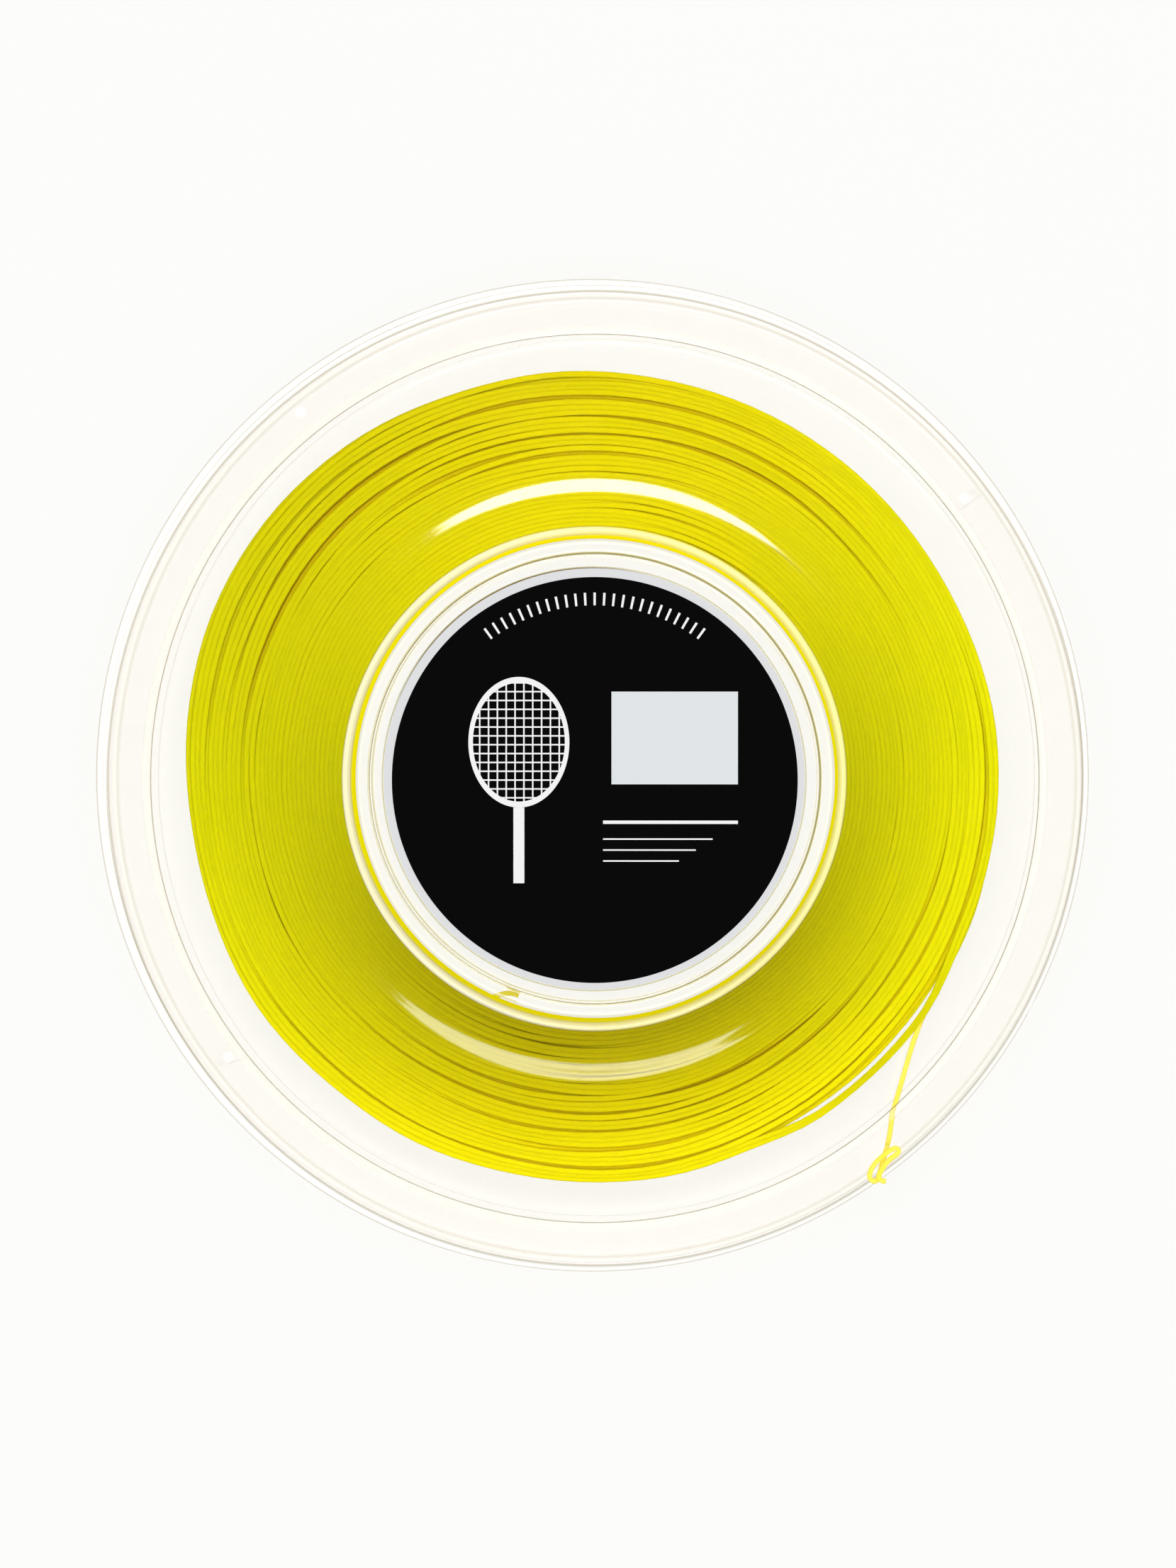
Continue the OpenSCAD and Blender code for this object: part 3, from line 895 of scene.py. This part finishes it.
# %% Place of the string
def string_place(tree, turns):
    """Where the string is, this many turns back from its free end, and in which layer."""
    angle = turns * (2 * math.pi) + math.radians(END_ANGLE)
    passes = (turns - LAST_TURNS) / TURNS_PER_LAYER
    whole = (passes + 0.5).maths("FLOOR")  # which turning back at a flange is the nearest
    flange = whole.maths("PINGPONG", 1) * -2 + 1  # 1 for the front flange, -1 for the rear
    past = passes - whole
    reach = CLIMB / TURNS_PER_LAYER / 2
    layer = whole - 1 + past.steps(-reach, reach)
    share = (layer + 1) / LAYERS

    chance = tree.noise(tree.vector(whole * 7.3, past.maths("SIGN") * 3.1, 0.7), 1.0, 0.0)
    dwell = share.steps(*DWELL_CHANGE) * (DWELL[1] - DWELL[0]) + DWELL[0]
    less = (chance - DWELL_LUCK).maths("MAXIMUM", 0) * (2 * DWELL_LOOSE)
    dwell = dwell - less * (1 - share * DWELL_CALM)
    away = past.maths("ABSOLUTE") * TURNS_PER_LAYER
    depth = (away - dwell).steps(0, DROP) * STRING_D
    evenly = (away - dwell - DROP) / (TURNS_PER_LAYER / 2 - dwell - DROP)
    depth = depth + evenly.maths("MAXIMUM", 0) * (HALF_W - STRING_D)
    height = flange * (HALF_W - depth)

    cosine, sine = angle.maths("COSINE"), angle.maths("SINE")
    rise = (height / (HALF_W + STRING_D / 2)).maths("ABSOLUTE")
    inner = rise * HUB_DRAFT + rise**8 * FILLET_PUSH + (HUB_R + SEAT + STRING_D / 2)
    outer = outer_radius(tree, angle) - STRING_D / 2
    radius = outer + (inner - outer) * share
    common = waver(tree, cosine, sine, layer, LAYER_WAVER)
    own = waver(tree, cosine, sine, turns, STRAND_WAVER)
    radius = radius + (common + own) * (1 - share**3)
    loose = bulge(tree, angle, LOOSE_ANGLE, LOOSE_SPREAD).steps(*LOOSE_EDGE) * LOOSE
    loose = loose * (layer * LOOSE_FAN[1] + LOOSE_FAN[0])
    loose = loose * turns.steps(LOOSE_TURNS + LOOSE_START, LOOSE_TURNS - LOOSE_START)
    radius = radius + loose

    at_end = (turns * turns * (-1 / END_REACH**2)).maths("EXPONENT")
    radius = radius - at_end * END_SINK.x
    height = height - at_end * END_SINK.y
    spot = tree.vector(cosine * radius, sine * radius, height + MID_Z)
    return spot, height, layer


# %% [markdown]
# One tree lays the whole string and keeps the part that a test on height and layer lets through.
# It is run three times: for the front flank, the rear flank and what shows between them.

# %% The string as tubes
SIDES = 8
SOFT_DEGREES = 60  # the tube is smooth all round, and only its ends are sharp
SEE_DEPTH = 2.9 * MM  # how deep a view goes between the strands at a flange
SEE_LAYERS = 1.6  # and how many layers deep from outside and from the hub


def winding(name, keep):
    """The part of the string for which keep(height, layer) is above one half."""
    tree = Geometry(name)
    rings = tree.input("Rings per turn", RINGS, "Int")
    layers = tree.input("Layers", LAYERS, "Int")
    width = tree.input("String width", STRING_D * SPREAD)
    sides = tree.input("Sides", SIDES, "Int")
    count = rings * (layers * TURNS_PER_LAYER + LAST_TURNS)
    line = tree.node("GeometryNodeMeshLine", None, count)
    turns = tree.node("GeometryNodeInputIndex") / rings
    spot, height, layer = string_place(tree, turns)
    unseen = 1 - keep(height, layer)
    laid = tree.node("GeometryNodeSetPosition", None, line, None, spot)
    # the mask is worked out on the points before any go, because it counts points
    seen = tree.node("GeometryNodeDeleteGeometry", {"domain": "POINT"}, laid, unseen > 0.5)
    path = tree.node("GeometryNodeMeshToCurve", None, seen)
    ring = tree.node("GeometryNodeCurvePrimitiveCircle", None, sides, Radius=width / 2)
    tube = tree.node("GeometryNodeCurveToMesh", None, path, ring, Fill_Caps=True)
    return tree.run(smoothed(tree, tube, SOFT_DEGREES), STRING, name)


SEEN = HALF_W - SEE_DEPTH
OVERLAP = 0.03 * MM
front_flank = winding("front_flank", lambda height, layer: height > SEEN)
rear_flank = winding("rear_flank", lambda height, layer: height < -SEEN)
between = winding(
    "wound_layers",
    lambda height, layer: (height.maths("ABSOLUTE") < SEEN + OVERLAP)
    * ((layer < SEE_LAYERS) + (layer > LAYERS - SEE_LAYERS)),
)

# %% [markdown]
# Under those strands the layers that can't be seen are one ring of the same stuff. It only has to
# stop light and glances that find a way between the strands, so it is plain, and a little darker
# as painted shade of the deep layers.

# %% Core of the winding
CORE = string_material("string_core", *CORE_COLOURS)
CORE_COLUMNS = 180


def winding_core(name):
    tree = Geometry(name)
    inner, outer = HUB_R + HUB_DRAFT + 2 * STRING_D, OUTER_R - 2.6 * STRING_D
    half = SEEN - 0.2 * MM
    corners = [(inner, half), (outer, half), (outer, -half), (inner, -half), (inner, half)]
    outline = tree.input("Section", points_object(name + "_section", corners), "Object")
    columns = tree.input("Columns", CORE_COLUMNS, "Int")

    def follow(radius, turn):
        return radius + (radius > (inner + outer) / 2) * (outer_radius(tree, turn) - OUTER_R)

    ring = swept(tree, outline, len(corners), columns, follow, 1)
    return tree.run(smoothed(tree, ring), CORE, name)


core = winding_core("winding_core")

# %% [markdown]
# ## Labels
# Each boss carries a round paper label: dark print with a pale margin, set a touch off centre.
# The print is a plain design of its own: a racket head with its strings, rules, a pale panel
# and an arc of ticks. All of it is drawn by masks on the label's own coordinates.


# %% Print masks
def box_mask(x, y, centre, size):
    """1 inside a rectangle. x and y are sockets in mm."""
    inside_x = (x - centre[0]).maths("ABSOLUTE") < size[0] / 2
    inside_y = (y - centre[1]).maths("ABSOLUTE") < size[1] / 2
    return inside_x * inside_y


def either(*masks):
    whole = masks[0]
    for mask in masks[1:]:
        whole = whole.maths("MAXIMUM", mask)
    return whole


# %% Print design
# places and sizes on the print are in mm from its middle
RACKET = ((-18, 9), (24, 31))
RACKET_FRAME = 0.91  # inner edge of its frame, as a share of its size
RACKET_PITCH, RACKET_STRING = 2.1, 0.17  # of its strings: from one to the next, and half as wide
HANDLE = ((-18, -15.5), (2.6, 18))
RULES = (
    ((18, -10), (32, 0.8)), ((15, -14), (26, 0.35)),
    ((13, -16.6), (22, 0.35)), ((11, -19.2), (18, 0.35)),
)  # fmt: skip
TICKS_ROUND = 120  # to a full circle
TICK_SHARE = 0.12  # half the width of one, as a share of its room
TICK_RADII = (41.5, 44.5)
TICK_DEGREES = (52, 128)
PANEL_BOX = ((19, 10), (30, 22))


def racket_head(x, y, centre, size):
    """An oval frame with crossed strings in it."""
    far = from_axis((x - centre[0]) / (size[0] / 2), (y - centre[1]) / (size[1] / 2))
    mains, crosses = (
        (along / RACKET_PITCH).maths("PINGPONG", 0.5) < RACKET_STRING / RACKET_PITCH
        for along in (x, y)
    )
    return either(mains, crosses, far > RACKET_FRAME) * (far < 1.0)


def tick_arc(x, y):
    """Short strokes round part of a circle."""
    far = from_axis(x, y)
    turn = y.maths("ARCTAN2", x) * (180 / math.pi)
    turn = turn.maths("FLOORED_MODULO", 360)
    stroke = (turn / (360 / TICKS_ROUND)).maths("PINGPONG", 0.5) < TICK_SHARE
    part = (turn > TICK_DEGREES[0]) * (turn < TICK_DEGREES[1])
    return stroke * part * (far > TICK_RADII[0]) * (far < TICK_RADII[1])


def printed_white(x, y):
    boxes = [box_mask(x, y, *box) for box in (HANDLE, *RULES)]
    return either(racket_head(x, y, *RACKET), *boxes, tick_arc(x, y))


# %% Label material
PRINT_R = 48.2  # mm
PRINT_SHIFT = (0.17, -0.28)  # mm
BLACK = (0.0030, 0.0030, 0.0030, 1)
INK_WHITE = (0.80, 0.80, 0.80, 1)
PANEL = (0.665, 0.695, 0.71, 1)
MARGIN = (0.66, 0.665, 0.68, 1)
# The label's bare back, painted brown as the shade it lies in.
BARE_BACK_SHADE = (0.42, 0.33, 0.24, 1)
PAPER_GRAIN = 2500.0  # per metre


def label_material(name, side):
    """side is 1 for the label that faces up and -1 for the one that faces down."""
    material, tree = new_material(name)
    place = tree.place()
    x, y, _ = tree.split(place)
    x = x * (side / MM) - PRINT_SHIFT[0]
    y = y * (1 / MM) - PRINT_SHIFT[1]
    colour = tree.blend(printed_white(x, y), BLACK, INK_WHITE)
    colour = tree.blend(box_mask(x, y, *PANEL_BOX), colour, PANEL)
    colour = tree.blend(from_axis(x, y) > PRINT_R, colour, MARGIN)
    # a label's back gets the painted shade colour
    _, _, upright = tree.split(tree.node("ShaderNodeNewGeometry", None, out=3))
    colour = tree.blend(upright * side > -0.5, BARE_BACK_SHADE, colour)
    grain = tree.noise(place, PAPER_GRAIN, 3.0)
    bump = tree.node("ShaderNodeBump", None, Strength=0.1, Distance=0.02 * MM, Height=grain)
    paper = tree.node(
        "ShaderNodeBsdfPrincipled",
        None,
        Base_Color=colour,
        Roughness=grain * 0.1 + 0.3,
        Specular_IOR_Level=0.0,
        Normal=bump,
    )
    return end_material(material, tree, paper)


def dress(node, material):
    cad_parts[node].data.materials.clear()
    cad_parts[node].data.materials.append(material)


dress("front_label", label_material("front_label_paper", 1))
dress("rear_label", label_material("rear_label_paper", -1))

# %% [markdown]
# ## Floor, world and lamps
# The reel lies on a white table. The floor's white comes from its own colour and a little glow
# that only the camera, mirrors and glass see, so it adds no light to the reel and keeps its
# shadow. Two soft boxes hang beyond the reel's upper and lower edge, as the camera sees it, and
# their mirror images on the flange's crown are its two bright crescents. The world is even low
# down and brighter in a ring high up, which lights the bends. Straight overhead it is dark, so
# that flat gloss shows no veil.

# %% Floor
FLOOR_SIZE = 3.0
TABLE_COLOURS = ((0.88, 0.88, 0.87, 1), (0.9, 0.9, 0.89, 1))
TABLE_CLOUDS = 4.0  # per metre
TABLE_GLOW = (0.975, 0.972, 0.955, 1)
GLOW_SHARE = 0.8  # of what those rays see, the rest is lit
GLASS_GLOW = 0.27  # how much more glows into the sheet, to make up for what its walls keep


def floor_material():
    material, tree = new_material("table")
    tree.node("ShaderNodeLightPath")
    camera_ray, glossy_ray, glass_ray = (
        Wire(tree, tree.last.outputs[f"Is {kind} Ray"])
        for kind in ("Camera", "Glossy", "Transmission")
    )
    seen = either(camera_ray, glossy_ray, glass_ray)
    colour = tree.blend(tree.noise(tree.place(), TABLE_CLOUDS, 2.0), *TABLE_COLOURS)
    matt = tree.node("ShaderNodeBsdfDiffuse", None, colour)
    glow = tree.node("ShaderNodeEmission", None, TABLE_GLOW, glass_ray * GLASS_GLOW + 1)
    return end_material(material, tree, tree.mix(seen * GLOW_SHARE, matt, glow))


floor_mesh = bpy.data.meshes.new("table")
reach = FLOOR_SIZE / 2
floor_mesh.from_pydata(
    [(-reach, -reach, 0), (reach, -reach, 0), (reach, reach, 0), (-reach, reach, 0)],
    [],
    [(0, 1, 2, 3)],
)
floor_mesh.materials.append(floor_material())
floor = bpy.data.objects.new("table", floor_mesh)
bpy.context.scene.collection.objects.link(floor)

# %% World and lamps
LAMP_H = 1.3
LAMP_NEAR = 0.265  # from the reel's axis to a soft box's near edge
OVERHEAD = (0.968, 0.93)  # height of a direction: dark from the first up, light below the second
HIGH_RING = (0.7, 0.85)  # where the bright ring sets in and where it is full
WORLD_LOW = 0.48  # strength low down
WORLD_RING = 1.8  # what the ring adds
WORLD_LEAST = 0.02


def world_light():
    world = bpy.data.worlds.new("room")
    world.use_nodes = True
    world.node_tree.nodes.clear()
    tree = Tree(world.node_tree)
    _, _, up = tree.split(tree.node("ShaderNodeTexCoord"))
    strength = up.steps(*HIGH_RING) * WORLD_RING + WORLD_LOW
    strength = up.steps(*OVERHEAD) * strength + WORLD_LEAST
    light = tree.node("ShaderNodeBackground", None, (1.0, 1.0, 1.0, 1), strength)
    tree.node("ShaderNodeOutputWorld", None, light)
    bpy.context.scene.world = world


def soft_box(name, side, x, width, depth, watts):
    lamp = bpy.data.lights.new(name, "AREA")
    lamp.shape = "RECTANGLE"
    lamp.size, lamp.size_y = width, depth
    lamp.energy = watts
    made = bpy.data.objects.new(name, lamp)
    bpy.context.scene.collection.objects.link(made)
    made.location = (x, side * (LAMP_NEAR + lamp.size_y / 2), LAMP_H)
    print(f"{name}: {watts} W")


world_light()
soft_box("soft_box_top", side=1, x=0.075, width=0.57, depth=0.11, watts=2.0)
soft_box("soft_box_bottom", side=-1, x=-0.065, width=0.38, depth=0.11, watts=0.5)
bpy.context.scene.view_settings.view_transform = "Standard"

# %% [markdown]
# ## Joining the frame
# Every piece rides on the reel's one body and stands for the solids that it replaces.

# %% Hand over
for piece in (
    front_sheet, rear_sheet, front_flank, rear_flank, between, core, free_end, lead_in, knot,
    inner_tail,
):  # fmt: skip
    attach(piece, "root")
for piece, node in ((front_sheet, "front_half"), (rear_sheet, "rear_half")):
    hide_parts(node)
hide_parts("string_core")
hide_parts("string_outer_turns")
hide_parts("string_free_end")
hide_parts("string_knot")
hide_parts("string_inner_tail")
